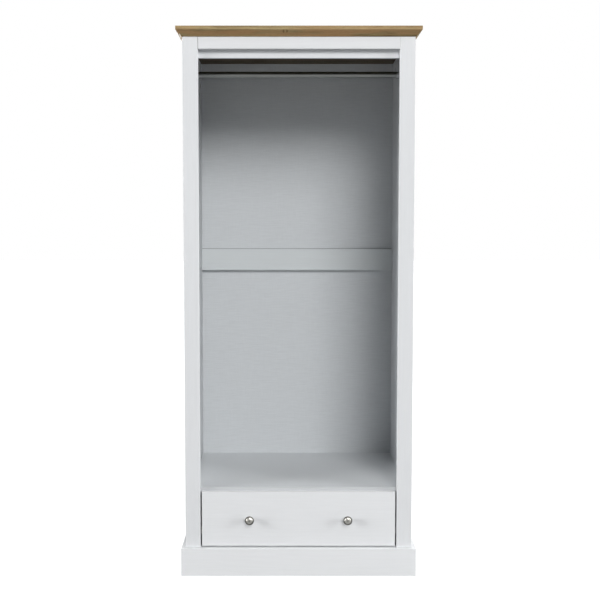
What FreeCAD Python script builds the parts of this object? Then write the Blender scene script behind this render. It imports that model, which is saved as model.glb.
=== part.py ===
import FreeCAD, Part
import math
import os

# Open wardrobe over one drawer: white foil-wrapped boards, a face frame, an oak-effect top.
# Millimetres. X runs to the right, Y from front to back, Z up. The origin is on the floor,
# at the middle of the overall width and depth.

# ---- Driving sizes: carcass and face frame ----
overall_height = 1810.0
carcass_width = 756.0          # outside of the side panels, and of the stiles
side_depth = 482.0             # front to back of a side panel
board_thickness = 16.0         # side panels, deck, inner rails, runner boards
frame_thickness = 18.0         # face frame boards
stile_width = 50.0
head_rail_height = 39.0
stop_rail_height = 65.0
base_rail_height = 90.0
arris = 0.8                    # broken edge on the face frame and plinth

# ---- Driving sizes: top ----
top_band_height = 12.0         # upright edge of the top
top_slope_height = 19.0        # 45 degree slope below the band
top_lip = 1.0                  # underside stands this far proud of the carcass
top_edge_radius = 1.0

# ---- Driving sizes: back ----
back_thickness = 3.0
back_side_margin = 2.0         # back panels stop short of the side panels' outer faces
back_top_lap = 11.0            # back panel laps the rear edge of the top
back_bottom_height = 20.0      # lower edge of the back above the floor
back_joint_gap = 1.0
back_rail_bottom = 1001.5
back_rail_height = 80.0

# ---- Driving sizes: deck, plinth and drawer compartment ----
deck_top = 292.0
deck_reveal = 10.0             # deck edge that shows above the drawer front
plinth_height = 94.0
plinth_thickness = 14.0
plinth_arris = 1.5
drawer_foot_gap = 4.0          # drawer front above the plinth
drawer_side_gap = 5.0          # drawer front to stile
runner_board_bottom = 130.0
runner_board_rear_space = 20.0 # runner board short of the carcass's rear edge
spacer_width = 60.0

# ---- Driving sizes: drawer ----
drawer_front_gap = 2.0         # drawer front's rear face to the carcass
drawer_front_radius = 1.0
drawer_side_thickness = 12.0
drawer_head_room = 14.8        # drawer sides below the deck
drawer_bottom_thickness = 3.0
drawer_bottom_height = 10.0    # underside of the bottom above the lower edge of the sides
groove_depth = 5.0
groove_clearance = 0.2         # bottom in its groove, all round
bottom_end_clearance = 0.5     # bottom short of the ends of its grooves

# ---- Driving sizes: roller runners ----
runner_setback = 2.0           # cabinet runner behind the stile
runner_rear_space = 30.0       # cabinet runner short of the carcass's rear edge
runner_rise = 5.0              # cabinet runner above the lower edge of the runner board
runner_space = 12.5            # runner board to drawer side
sheet = 1.2                    # steel of the runners
bend_radius = 0.8              # inside of each bend
track_height = 19.4            # cabinet runner, outside
track_side_gap = 1.5           # cabinet runner's flanges to the drawer runner's web
track_gap = 1.4                # drawer runner's rail above the cabinet runner
rail_side_gap = 2.6            # drawer runner's rail to the runner board
shelf_width = 10.2             # flange under the drawer side
shelf_rise = 5.0               # that flange above the cabinet runner's lower face
front_roller_foot = 1.3        # front roller above the floor of the track
roller_width = 5.4
roller_clearance = 0.3         # roller to track and rail
roller_rim = 0.7               # broken edge of a roller
roller_dish = 1.0              # depth of the recess in a roller's faces
roller_web_ring = 5.6          # inner radius of that recess's outer edge
roller_hub_radius = 3.4
roller_inset = 14.0            # roller centre from the end of its runner
track_cutback = 26.0           # top flange cut away for the front roller
pin_radius = 2.0
pin_clearance = 0.05
pin_shoulder_radius = 3.0
pin_head_radius = 3.0
pin_head_height = 0.7
pin_end_clearance = 0.3        # roller to shoulder and head

# ---- Driving sizes: knobs ----
knob_spacing = 327.0           # centre to centre
knob_radius = 15.0
knob_projection = 26.0
knob_foot_radius = 8.5
knob_neck_radius = 5.5
knob_foot_height = 2.0
knob_neck_height = 9.0         # end of the straight neck
knob_rim_start = 17.5          # back of the rim
knob_rim_height = 3.4
knob_dome_radius = 12.6        # where the dome meets the rim's front
knob_bore_spare = 1.0          # bore deeper than the screw reaches
knob_screw_radius = 2.0
knob_screw_bite = 10.0         # thread inside the knob
knob_screw_clearance = 0.25    # in the drawer front

# ---- Driving sizes: hanging rail ----
rail_diameter = 22.0
rail_wall = 1.0
rail_drop = 80.0               # underside of the top to the rail's centre
socket_base = 3.0
socket_depth = 16.0            # overall, from the side panel
socket_wall = 2.0
rail_clearance = 0.3
rail_end_clearance = 0.5
socket_screw_spread = 6.0      # either side of the socket's centre

# ---- Driving sizes: cam fittings, dowels and screws ----
cam_diameter = 15.0
cam_floor = 3.5                # board left under the cam's pocket
cam_setback = 34.0             # joint to the cam's centre
cam_clearance = 0.1
cam_shank_radius = 2.5
cam_head_radius = 3.2
cam_head_length = 3.0
cam_thread_radius = 3.0
cam_thread_length = 11.0
cam_edge_bore_radius = 4.0
cam_slot_length = 9.0
cam_slot_width = 1.6
cam_slot_depth = 2.0
drawer_cam_diameter = 12.0
drawer_cam_setback = 24.0
drawer_cam_head_radius = 2.6
drawer_cam_shank_radius = 2.0
drawer_cam_edge_bore_radius = 3.0
drawer_cam_floor = 2.5
drawer_cam_edge_margin = 28.0  # cams from the upper and lower edge of the drawer side
dowel_diameter = 8.0
dowel_length = 30.0
dowel_face_wall = 5.0          # board left beyond a dowel let into its face
dowel_clearance = 0.05
fitting_inset = 80.0           # cams of the deck and top from the carcass's front and back
stile_cam_drop = 109.0         # uppermost stile cam below the top
stile_cam_count = 4
screw_radius = 2.0
screw_head_radius = 4.0
screw_head_height = 2.4
screw_clearance = 0.05
screw_bite = 10.0              # thread in the last board
runner_screw_head_height = 1.0
runner_screw_bite = 12.0
bottom_screw_bite = 7.0        # up into the drawer side, below its groove
end_margin = 45.0              # rows of fasteners start this far from an end, or a multiple of it

# ---- Places worked out from the sizes ----
half_width = carcass_width / 2
side_inner = half_width - board_thickness
opening_half = half_width - stile_width
top_overhang = top_slope_height + top_lip
top_thickness = top_band_height + top_slope_height
carcass_top = overall_height - top_thickness
carcass_depth = frame_thickness + side_depth
front_reach = max(knob_projection, top_overhang, plinth_thickness)
overall_depth = front_reach + carcass_depth + back_thickness
y_front = front_reach - overall_depth / 2          # front face of the face frame
y_carcass = y_front + frame_thickness              # front edges of the carcass boards
y_back = y_carcass + side_depth                    # rear edges of the carcass boards
y_rear = y_back + back_thickness
y_mid = (y_carcass + y_back) / 2
deck_bottom = deck_top - board_thickness
opening_top = carcass_top - head_rail_height
runner_length = side_depth - runner_setback - runner_rear_space
runner_board_length = side_depth - runner_board_rear_space
drawer_bottom_edge = runner_board_bottom + runner_rise + shelf_rise + sheet
drawer_side_height = deck_bottom - drawer_head_room - drawer_bottom_edge
drawer_side_length = runner_length
drawer_front_thickness = frame_thickness - drawer_front_gap
drawer_outer = opening_half - runner_space
drawer_inner = drawer_outer - drawer_side_thickness
drawer_front_bottom = plinth_height + drawer_foot_gap
drawer_front_top = deck_top - deck_reveal
drawer_front_half = opening_half - drawer_side_gap
y_box = y_front + drawer_front_thickness           # drawer front's rear face
y_box_end = y_box + drawer_side_length
groove_bottom = drawer_bottom_edge + drawer_bottom_height
groove_top = groove_bottom + drawer_bottom_thickness + groove_clearance
knob_height = (drawer_front_bottom + drawer_front_top) / 2
roller_offset = (runner_space - roller_width) / 2  # runner board to a roller's near face
track_width = runner_space - sheet - track_side_gap
rail_width = runner_space - rail_side_gap

X = FreeCAD.Vector(1, 0, 0)
Y = FreeCAD.Vector(0, 1, 0)
Z = FreeCAD.Vector(0, 0, 1)


def point(x, y, z):
    return FreeCAD.Vector(x, y, z)


def board(x0, x1, y0, y1, z0, z1):
    """A rectangular board between two corners."""
    return Part.makeBox(x1 - x0, y1 - y0, z1 - z0, point(x0, y0, z0))


def rod(start, direction, length, radius):
    return Part.makeCylinder(radius, length, start, direction)


def mirrored(shape):
    """The same piece for the other side of the wardrobe."""
    return shape.mirror(point(0, 0, 0), X)


def both_sides(shapes):
    return shapes + [mirrored(s) for s in shapes]


def cut_all(shape, tools):
    """Take every tool out of the shape in one cut."""
    return shape.cut(tools) if tools else shape


def edges_where(shape, test):
    """Edges whose end points all pass the test."""
    return [e for e in shape.Edges if all(test(v.Point) for v in e.Vertexes)]


def near(a, b):
    return abs(a - b) < 1e-6


def prism(corners, direction):
    """Extrude a flat outline given by its corners."""
    return Part.Face(Part.makePolygon(corners + corners[:1])).extrude(direction)


def write(name, solids):
    """One STEP file for a sub-part; several like solids go in as a group."""
    shape = solids[0] if len(solids) == 1 else Part.makeCompound(solids)
    shape.exportStep("parts/" + name + ".step")


# ---- Fasteners: each returns its solids and the cuts that it needs ----

def cam_fitting(at, inward, face, thickness, diameter, setback, shank, head, edge_bore, floor):
    """Cam disc and bolt across a joint. `at` is on the joint, at half the bored board's
    thickness; `inward` points into the bored board; `face` points out of the face that
    takes the cam. Returns disc, bolt, cut in the bored board, cut in the other board."""
    rim = at + inward * setback + face * (thickness / 2)
    depth = thickness - floor
    across = inward.cross(face)
    head_end = setback + cam_head_length / 2
    head_start = head_end - cam_head_length
    disc = rod(rim, -face, depth - cam_clearance, diameter / 2)
    mouth = rod(at + inward * (setback - diameter), inward, diameter + cam_head_length,
                head + cam_clearance)
    a = inward * (cam_slot_length / 2)
    b = across * (cam_slot_width / 2)
    slot = prism([rim - a - b, rim + a - b, rim + a + b, rim - a + b], -face * cam_slot_depth)
    disc = disc.cut([mouth, slot])
    bolt = rod(at, -inward, cam_thread_length, cam_thread_radius)
    bolt = bolt.fuse(rod(at, inward, head_start, shank))
    bolt = bolt.fuse(rod(at + inward * head_start, inward, cam_head_length, head))
    pocket = rod(rim, -face, depth, diameter / 2 + cam_clearance)
    bore = rod(at, inward, setback, edge_bore)
    hole = rod(at, -inward, cam_thread_length, cam_thread_radius + screw_clearance)
    return disc, bolt, pocket.fuse(bore), hole


def carcass_cam(at, inward, face, thickness):
    return cam_fitting(at, inward, face, thickness, cam_diameter, cam_setback,
                       cam_shank_radius, cam_head_radius, cam_edge_bore_radius, cam_floor)


def drawer_cam(at, inward, face):
    return cam_fitting(at, inward, face, drawer_side_thickness, drawer_cam_diameter,
                       drawer_cam_setback, drawer_cam_shank_radius, drawer_cam_head_radius,
                       drawer_cam_edge_bore_radius, drawer_cam_floor)


def dowel(at, inward, face_depth):
    """Wooden dowel across a joint, face_depth deep in the board it is let into."""
    pin = rod(at - inward * face_depth, inward, dowel_length, dowel_diameter / 2)
    hole = rod(at - inward * face_depth, inward, dowel_length,
               dowel_diameter / 2 + dowel_clearance)
    return pin, hole


def countersunk(at, inward, length):
    """Countersunk screw with its head flush at `at`, and the hole it sits in."""
    taper = Part.makeCone(screw_head_radius, screw_radius, screw_head_height, at, inward)
    screw = taper.fuse(rod(at, inward, length, screw_radius)).removeSplitter()
    sink = Part.makeCone(screw_head_radius + screw_clearance, screw_radius + screw_clearance,
                         screw_head_height, at, inward)
    hole = sink.fuse(rod(at, inward, length, screw_radius + screw_clearance))
    return screw, hole


def pan_head(at, inward, length, head_height):
    """Pan-head screw standing on the surface at `at`, and its hole."""
    head = rod(at - inward * head_height, inward, head_height, screw_head_radius - head_height / 2)
    screw = head.fuse(rod(at, inward, length, screw_radius)).removeSplitter()
    hole = rod(at, inward, length, screw_radius + screw_clearance)
    return screw, hole


def spaced(first, last, count):
    """Evenly spaced positions from first to last."""
    return [first + (last - first) * i / (count - 1) for i in range(count)]


# ---- Fastener places on the right-hand side; the left is mirrored ----

side_middle = half_width - board_thickness / 2
rail_mid_y = y_carcass + board_thickness / 2
rear_mid_y = y_back - board_thickness / 2
dowel_depth = board_thickness - dowel_face_wall
fitting_rows = [y_carcass + fitting_inset, y_back - fitting_inset]


def deck_cams():
    return [carcass_cam(point(side_inner, y, deck_top - board_thickness / 2), -X, -Z,
                        board_thickness) for y in fitting_rows]


def top_cams():
    return [carcass_cam(point(side_middle, y, carcass_top), -Z, -X, board_thickness)
            for y in fitting_rows]


def stile_cams():
    lowest = (base_rail_height + runner_board_bottom) / 2
    heights = spaced(lowest, carcass_top - stile_cam_drop, stile_cam_count)
    return [carcass_cam(point(side_middle, y_carcass, z), Y, -X, board_thickness)
            for z in heights]


def thirds(low, high):
    """Heights one third and two thirds of the way up."""
    return low + (high - low) / 3, high - (high - low) / 3


def rail_fixings(y, face, cam_height, dowel_height):
    """Cam and dowel at the right-hand end of a cross rail."""
    return (carcass_cam(point(side_inner, y, cam_height), -X, face, board_thickness),
            dowel(point(side_inner, y, dowel_height), -X, dowel_depth))


def stop_rail_fixings():
    low, high = thirds(carcass_top - stop_rail_height, carcass_top)
    return rail_fixings(rail_mid_y, Y, high, low)


def base_rail_fixings(y, face):
    low, high = thirds(0, base_rail_height)
    return rail_fixings(y, face, low, high)


def back_rail_fixings():
    low, high = thirds(back_rail_bottom, back_rail_bottom + back_rail_height)
    return rail_fixings(rear_mid_y, Y, high, low)


def frame_dowels():
    """Head rail and foot rail into the edge of the stile."""
    y = y_front + frame_thickness / 2
    return [dowel(point(opening_half, y, z), -X, dowel_length / 2)
            for z in (carcass_top - head_rail_height / 2, plinth_height / 2)]


def deck_dowels():
    return [dowel(point(side_inner, y_mid, deck_top - board_thickness / 2), -X, dowel_depth)]


def runner_board_screws():
    """Through the runner board and its spacers into the side panel."""
    length = side_inner - opening_half + screw_bite
    rows = [y_carcass + spacer_width / 2, y_carcass + runner_board_length - spacer_width / 2]
    low = runner_board_bottom + runner_rise + track_height + end_margin / 2
    return [countersunk(point(opening_half, y, z), X, length)
            for y in rows for z in (low, deck_bottom - end_margin / 2)]


def plinth_side_screws():
    rows = spaced(y_carcass + fitting_inset, y_back - fitting_inset, 3)
    return [countersunk(point(side_inner, y, plinth_height / 2), X, board_thickness + screw_bite)
            for y in rows]


def plinth_front_screws():
    """From behind, through the front base rail and the foot rail."""
    reach = opening_half - 2 * end_margin
    length = board_thickness + frame_thickness + screw_bite
    return [countersunk(point(x, y_carcass + board_thickness, plinth_height / 2), -Y, length)
            for x in spaced(-reach, reach, 4)]


def head_rail_screws():
    reach = opening_half - 2 * end_margin
    return [countersunk(point(x, y_carcass + board_thickness, opening_top + head_rail_height / 2),
                        -Y, board_thickness + screw_bite) for x in spaced(-reach, reach, 3)]


def socket_screws():
    z = carcass_top - rail_drop
    return [countersunk(point(side_inner - socket_base, y_mid + dy, z), X,
                        socket_base + screw_bite)
            for dy in (-socket_screw_spread, socket_screw_spread)]


def cabinet_runner_screws():
    z = runner_board_bottom + runner_rise + track_height / 2
    first = y_carcass + runner_setback + end_margin
    last = y_carcass + runner_setback + runner_length - end_margin
    return [pan_head(point(opening_half - sheet, y, z), X, runner_screw_bite,
                     runner_screw_head_height) for y in spaced(first, last, 3)]


def drawer_runner_screws():
    """Up through the shelf flange into the lower edge of the drawer side."""
    x = drawer_outer - drawer_side_thickness / 2
    z = drawer_bottom_edge - sheet
    return [pan_head(point(x, y, z), Z, sheet + bottom_screw_bite, runner_screw_head_height)
            for y in spaced(y_box + end_margin, y_box_end - end_margin, 3)]


def drawer_front_cams():
    x = drawer_outer - drawer_side_thickness / 2
    rows = (drawer_bottom_edge + drawer_cam_edge_margin + drawer_bottom_height,
            drawer_bottom_edge + drawer_side_height - drawer_cam_edge_margin)
    return [drawer_cam(point(x, y_box, z), Y, -X) for z in rows]


def drawer_back_screws():
    y = y_box_end - drawer_side_thickness / 2
    rows = (groove_top + drawer_cam_edge_margin,
            drawer_bottom_edge + drawer_side_height - drawer_cam_edge_margin)
    return [countersunk(point(drawer_outer, y, z), -X, drawer_side_thickness + 2 * screw_bite)
            for z in rows]


def drawer_bottom_screws():
    y = y_box_end - drawer_side_thickness / 2
    reach = drawer_inner - 2 * end_margin
    return [pan_head(point(x, y, groove_bottom), Z, runner_screw_bite, runner_screw_head_height)
            for x in spaced(-reach, reach, 3)]


# ---- Carcass ----

def side_panel():
    """Right side panel: floor to top, bored for every fitting that meets it."""
    panel = board(side_inner, half_width, y_carcass, y_back, 0, carcass_top)
    cuts = [f[2] for f in top_cams() + stile_cams()]
    cuts += [f[3] for f in deck_cams()]
    for cam, peg in (stop_rail_fixings(), base_rail_fixings(rail_mid_y, Y),
                     base_rail_fixings(rear_mid_y, -Y), back_rail_fixings()):
        cuts += [cam[3], peg[1]]
    cuts += [f[1] for f in deck_dowels() + runner_board_screws() + plinth_side_screws()]
    cuts += [f[1] for f in socket_screws()]
    return cut_all(panel, cuts)


def top_panel():
    """Thick top: an upright band over a 45 degree chamfer at the front and both sides,
    mitred at the corners; flush with the carcass at the back."""
    reach = half_width + top_overhang
    panel = board(-reach, reach, y_front - top_overhang, y_back, carcass_top, overall_height)

    def outer(p):
        return near(abs(p.x), reach) or near(p.y, y_front - top_overhang)

    def runs_along_rim(edge):
        a, b = [v.Point for v in edge.Vertexes]
        at_back = near(a.y, y_back) and near(b.y, y_back)
        return outer(a) and outer(b) and not at_back

    lower = [e for e in edges_where(panel, lambda p: near(p.z, carcass_top)) if runs_along_rim(e)]
    panel = panel.makeChamfer(top_slope_height, lower)
    upper = [e for e in edges_where(panel, lambda p: near(p.z, overall_height))
             if runs_along_rim(e)]
    panel = panel.makeFillet(top_edge_radius, upper)
    return cut_all(panel, both_sides([f[3] for f in top_cams()]))


def deck_panel():
    """Floor of the wardrobe, over the drawer."""
    panel = board(-side_inner, side_inner, y_carcass, y_back, deck_bottom, deck_top)
    front = edges_where(panel, lambda p: near(p.y, y_carcass) and near(p.z, deck_top))
    panel = panel.makeChamfer(arris, front)
    cuts = [f[2] for f in deck_cams()] + [f[1] for f in deck_dowels()]
    return cut_all(panel, both_sides(cuts))


def cross_rail(y0, z0, z1, fixings, cuts):
    """A board on edge between the side panels."""
    rail = board(-side_inner, side_inner, y0, y0 + board_thickness, z0, z1)
    cam, peg = fixings
    return cut_all(rail, both_sides([cam[2], peg[1]]) + cuts)


def stop_rail():
    """Carcass rail behind the head rail; it stands lower, as the stop of the opening."""
    return cross_rail(y_carcass, carcass_top - stop_rail_height, carcass_top,
                      stop_rail_fixings(), [f[1] for f in head_rail_screws()])


def front_base_rail():
    return cross_rail(y_carcass, 0, base_rail_height, base_rail_fixings(rail_mid_y, Y),
                      [f[1] for f in plinth_front_screws()])


def rear_base_rail():
    return cross_rail(y_back - board_thickness, 0, base_rail_height,
                      base_rail_fixings(rear_mid_y, -Y), [])


def middle_back_rail():
    """Rail across the joint of the two back panels."""
    return cross_rail(y_back - board_thickness, back_rail_bottom,
                      back_rail_bottom + back_rail_height, back_rail_fixings(), [])


def back_panel(z0, z1):
    """Thin panel nailed over the rear edges of the carcass."""
    reach = half_width - back_side_margin
    return board(-reach, reach, y_back, y_rear, z0, z1)


# ---- Face frame ----

def broken_front_edges(shape, upright):
    """Take the arris off the two long front edges of a frame board."""
    def long_front(edge):
        a, b = [v.Point for v in edge.Vertexes]
        along = near(a.x, b.x) if upright else near(a.z, b.z)
        return near(a.y, y_front) and near(b.y, y_front) and along
    return shape.makeChamfer(arris, [e for e in shape.Edges if long_front(e)])


def stile():
    """Right stile, from the floor to the top."""
    post = board(opening_half, half_width, y_front, y_carcass, 0, carcass_top)
    post = broken_front_edges(post, True)
    cuts = [f[3] for f in stile_cams()] + [f[1] for f in frame_dowels()]
    return cut_all(post, cuts)


def frame_rail(z0, z1, peg, cuts):
    """Rail butted between the stiles."""
    rail = board(-opening_half, opening_half, y_front, y_carcass, z0, z1)
    rail = broken_front_edges(rail, False)
    return cut_all(rail, both_sides([peg[1]]) + cuts)


# ---- Plinth ----

def plinth_board(outline):
    """Board 45 degree mitred in plan, with the arris off its upper outer edge."""
    body = prism([point(x, y, 0) for x, y in outline], Z * plinth_height)
    outer_x = half_width + plinth_thickness
    outer_y = y_front - plinth_thickness

    def upper_outer(edge):
        a, b = [v.Point for v in edge.Vertexes]
        on_top = near(a.z, plinth_height) and near(b.z, plinth_height)
        on_side = near(a.x, outer_x) and near(b.x, outer_x)
        on_front = near(a.y, outer_y) and near(b.y, outer_y)
        return on_top and (on_side or on_front)

    return body.makeChamfer(plinth_arris, [e for e in body.Edges if upper_outer(e)])


def plinth_front():
    outer = half_width + plinth_thickness
    outline = [(-outer, y_front - plinth_thickness), (outer, y_front - plinth_thickness),
               (half_width, y_front), (-half_width, y_front)]
    return cut_all(plinth_board(outline), [f[1] for f in plinth_front_screws()])


def plinth_side():
    outer = half_width + plinth_thickness
    outline = [(half_width, y_front), (outer, y_front - plinth_thickness),
               (outer, y_back), (half_width, y_back)]
    return cut_all(plinth_board(outline), [f[1] for f in plinth_side_screws()])


# ---- Drawer compartment ----

def runner_board():
    """Board that carries the cabinet runner in line with the edge of the opening."""
    panel = board(opening_half, opening_half + board_thickness, y_carcass,
                  y_carcass + runner_board_length, runner_board_bottom, deck_bottom)
    return cut_all(panel, [f[1] for f in runner_board_screws() + cabinet_runner_screws()])


def spacer_battens():
    """Two upright battens that fill the space between runner board and side panel."""
    x0 = opening_half + board_thickness
    ends = (y_carcass, y_carcass + runner_board_length - spacer_width)
    holes = [f[1] for f in runner_board_screws()]
    return [cut_all(board(x0, side_inner, y, y + spacer_width, runner_board_bottom, deck_bottom),
                    holes) for y in ends]


# ---- Roller runners: rolled steel strips with nylon rollers ----

def folded_strip(path, y0, length):
    """Steel strip folded along a path of (x, z) points on the middle of the sheet. Each
    bend is a right angle with a rounded inside and outside."""
    middle_radius = bend_radius + sheet / 2
    points = [point(x, y0, z) for x, z in path]
    legs = [(b - a).normalize() for a, b in zip(points, points[1:])]
    sides = ([], [])
    for side, sign in zip(sides, (1, -1)):
        start = points[0] + legs[0].cross(Y) * (sign * sheet / 2)
        for i in range(1, len(points) - 1):
            before, after = legs[i - 1], legs[i]
            centre = points[i] + (after - before) * middle_radius
            offset = before.cross(Y) * (sign * sheet / 2)
            arc_start = points[i] - before * middle_radius + offset
            arc_end = points[i] + after * middle_radius + after.cross(Y) * (sign * sheet / 2)
            reach = arc_start.sub(centre).Length
            middle = centre + (before - after).normalize() * reach
            side.append(Part.makeLine(start, arc_start))
            side.append(Part.Arc(arc_start, middle, arc_end).toShape())
            start = arc_end
        side.append(Part.makeLine(start, points[-1] + legs[-1].cross(Y) * (sign * sheet / 2)))
    first, second = sides
    caps = [Part.makeLine(first[0].Vertexes[0].Point, second[0].Vertexes[0].Point),
            Part.makeLine(first[-1].Vertexes[-1].Point, second[-1].Vertexes[-1].Point)]
    outline = Part.Wire(Part.__sortEdges__(first + second + caps))
    return Part.Face(outline).extrude(Y * length)


track_base = runner_board_bottom + runner_rise
rail_underside = track_base + track_height + track_gap
drawer_roller_radius = track_height / 2 - sheet - roller_clearance
front_roller_radius = (rail_underside - roller_clearance - track_base - sheet
                       - front_roller_foot) / 2
front_roller_place = point(opening_half, y_carcass + runner_setback + roller_inset,
                           rail_underside - roller_clearance - front_roller_radius)
drawer_roller_place = point(opening_half, y_box_end - roller_inset,
                            track_base + track_height / 2)


def cabinet_runner():
    """C-shaped track, open towards the drawer; its top flange is cut back at the front,
    where the roller stands."""
    half = sheet / 2
    wall = opening_half - half
    low = track_base + half
    high = track_base + track_height - half
    tip = opening_half - track_width
    y0 = y_carcass + runner_setback
    track = folded_strip([(tip, low), (wall, low), (wall, high), (tip, high)], y0, runner_length)
    room = board(tip - sheet, opening_half - sheet, y0 - sheet, y0 + track_cutback,
                 track_base + track_height / 2, track_base + track_height + sheet)
    holes = [f[1] for f in cabinet_runner_screws()]
    pin_hole = rod(front_roller_place, -X, track_width, pin_radius)
    return cut_all(track, [room, pin_hole] + holes)


def drawer_runner():
    """Z-shaped rail: a shelf under the drawer side, a web up its face and a rail that
    runs on the front roller."""
    half = sheet / 2
    wall = drawer_outer + half
    shelf = drawer_bottom_edge - half
    rail = rail_underside + half
    strip = folded_strip([(drawer_outer + sheet - shelf_width, shelf), (wall, shelf),
                          (wall, rail), (drawer_outer + rail_width, rail)],
                         y_box, drawer_side_length)
    holes = [f[1] for f in drawer_runner_screws()]
    pin_hole = rod(drawer_roller_place, -X, runner_space, pin_radius)
    return cut_all(strip, [pin_hole] + holes)


def roller(place, radius):
    """Nylon roller on its pin: broken edges, dished faces round a hub."""
    near_x = place.x - roller_offset
    far_x = near_x - roller_width
    body = rod(point(near_x, place.y, place.z), -X, roller_width, radius)
    rims = [e for e in body.Edges if isinstance(e.Curve, Part.Circle)]
    body = body.makeChamfer(roller_rim, rims)
    cuts = [rod(point(near_x, place.y, place.z), -X, roller_width, pin_radius + pin_clearance)]
    for x, inward in ((near_x, -X), (far_x, X)):
        face = point(x, place.y, place.z)
        ring = rod(face, inward, roller_dish, roller_web_ring)
        cuts.append(ring.cut(rod(face, inward, roller_dish, roller_hub_radius)))
    return cut_all(body, cuts)


def roller_pin(place, wall_x, free_x):
    """Riveted pin from a runner's web to the free side of the roller: shoulder, shank
    and head."""
    way = X if free_x > wall_x else -X
    near_x = place.x - roller_offset
    far_x = near_x - roller_width
    first, last = (far_x, near_x) if free_x > wall_x else (near_x, far_x)
    shoulder_end = first - way.x * pin_end_clearance
    head_start = last + way.x * pin_end_clearance
    start = point(wall_x, place.y, place.z)
    pin = rod(start - way * sheet, way, abs(head_start - wall_x) + sheet, pin_radius)
    pin = pin.fuse(rod(start, way, abs(shoulder_end - wall_x), pin_shoulder_radius))
    pin = pin.fuse(rod(point(head_start, place.y, place.z), way, pin_head_height,
                       pin_head_radius))
    return pin.removeSplitter()


def cabinet_roller_pin():
    wall = opening_half - sheet
    return roller_pin(front_roller_place, wall, drawer_outer)


def drawer_roller_pin():
    wall = drawer_outer + sheet
    return roller_pin(drawer_roller_place, wall, opening_half)


# ---- Drawer ----

def drawer_front():
    """Inset front with rounded edges, grooved for the drawer bottom."""
    panel = board(-drawer_front_half, drawer_front_half, y_front, y_box,
                  drawer_front_bottom, drawer_front_top)
    rim = edges_where(panel, lambda p: near(p.y, y_front))
    panel = panel.makeFillet(drawer_front_radius, rim)
    groove = board(-drawer_inner - groove_depth, drawer_inner + groove_depth,
                   y_box - groove_depth, y_box, groove_bottom - groove_clearance, groove_top)
    cuts = [groove] + both_sides([f[3] for f in drawer_front_cams()])
    shank = knob_screw_radius + knob_screw_clearance
    knobs = [rod(point(x, y_front, knob_height), Y, drawer_front_thickness, shank)
             for x in (-knob_spacing / 2, knob_spacing / 2)]
    return cut_all(panel, cuts + knobs)


def drawer_side():
    """Right drawer side, grooved for the bottom along its whole length; its lower outer
    edge is taken off to sit in the bend of the drawer runner."""
    panel = board(drawer_inner, drawer_outer, y_box, y_box_end,
                  drawer_bottom_edge, drawer_bottom_edge + drawer_side_height)
    in_bend = edges_where(panel, lambda p: near(p.x, drawer_outer)
                          and near(p.z, drawer_bottom_edge))
    panel = panel.makeChamfer(bend_radius, in_bend)
    groove = board(drawer_inner, drawer_inner + groove_depth, y_box, y_box_end,
                   groove_bottom - groove_clearance, groove_top)
    cuts = [groove] + [f[2] for f in drawer_front_cams()]
    cuts += [f[1] for f in drawer_back_screws() + drawer_runner_screws()]
    return cut_all(panel, cuts)


def drawer_back():
    """Between the drawer sides, standing on the rear edge of the bottom."""
    panel = board(-drawer_inner, drawer_inner, y_box_end - drawer_side_thickness, y_box_end,
                  groove_top, drawer_bottom_edge + drawer_side_height)
    cuts = both_sides([f[1] for f in drawer_back_screws()])
    return cut_all(panel, cuts + [f[1] for f in drawer_bottom_screws()])


def drawer_bottom():
    reach = drawer_inner + groove_depth - bottom_end_clearance
    panel = board(-reach, reach, y_box - groove_depth + bottom_end_clearance, y_box_end,
                  groove_bottom, groove_bottom + drawer_bottom_thickness)
    return cut_all(panel, [f[1] for f in drawer_bottom_screws()])


# ---- Knobs ----

def knob(x):
    """Turned knob: foot, tapered into a neck, flared to a rounded rim and a low dome."""
    def at(radius, out):
        return point(x + radius, y_front - out, knob_height)

    rim_end = knob_rim_start + knob_rim_height
    taper_end = knob_foot_height + (knob_foot_radius - knob_neck_radius)
    rim_back = at(knob_radius - knob_rim_height / 4, knob_rim_start)
    rim_mid = at(knob_radius, knob_rim_start + knob_rim_height / 2)
    rim_front = at(knob_dome_radius, rim_end)
    crown = at(0, knob_projection)
    rise = knob_projection - rim_end
    dome_radius = (knob_dome_radius ** 2 + rise ** 2) / (2 * rise)
    half_angle = math.asin(knob_dome_radius / dome_radius) / 2
    dome_mid = at(dome_radius * math.sin(half_angle),
                  knob_projection - dome_radius * (1 - math.cos(half_angle)))
    profile = [at(0, 0), at(knob_foot_radius, 0), at(knob_foot_radius, knob_foot_height),
               at(knob_neck_radius, taper_end), at(knob_neck_radius, knob_neck_height), rim_back]
    outline = [Part.makeLine(a, b) for a, b in zip(profile, profile[1:])]
    outline += [
        Part.Arc(rim_back, rim_mid, rim_front).toShape(),
        Part.Arc(rim_front, dome_mid, crown).toShape(),
        Part.makeLine(crown, at(0, 0)),
    ]
    body = Part.Face(Part.Wire(outline)).revolve(at(0, 0), Y, 360)
    bore = rod(at(0, 0), -Y, knob_screw_bite + knob_bore_spare,
               knob_screw_radius + screw_clearance)
    return body.cut(bore)


def knob_screw(x):
    """Machine screw from inside the drawer front into the knob."""
    seat = point(x, y_box, knob_height)
    shank = rod(seat, -Y, drawer_front_thickness + knob_screw_bite, knob_screw_radius)
    head = rod(seat, Y, screw_head_height, screw_head_radius)
    head = head.makeFillet(screw_head_height / 2, edges_where(
        head, lambda p: near(p.y, y_box + screw_head_height)))
    return head.fuse(shank).removeSplitter()


# ---- Hanging rail ----

def hanging_rail():
    reach = side_inner - socket_base - rail_end_clearance
    start = point(-reach, y_mid, carcass_top - rail_drop)
    tube = rod(start, X, 2 * reach, rail_diameter / 2)
    return tube.cut(rod(start, X, 2 * reach, rail_diameter / 2 - rail_wall))


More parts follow.
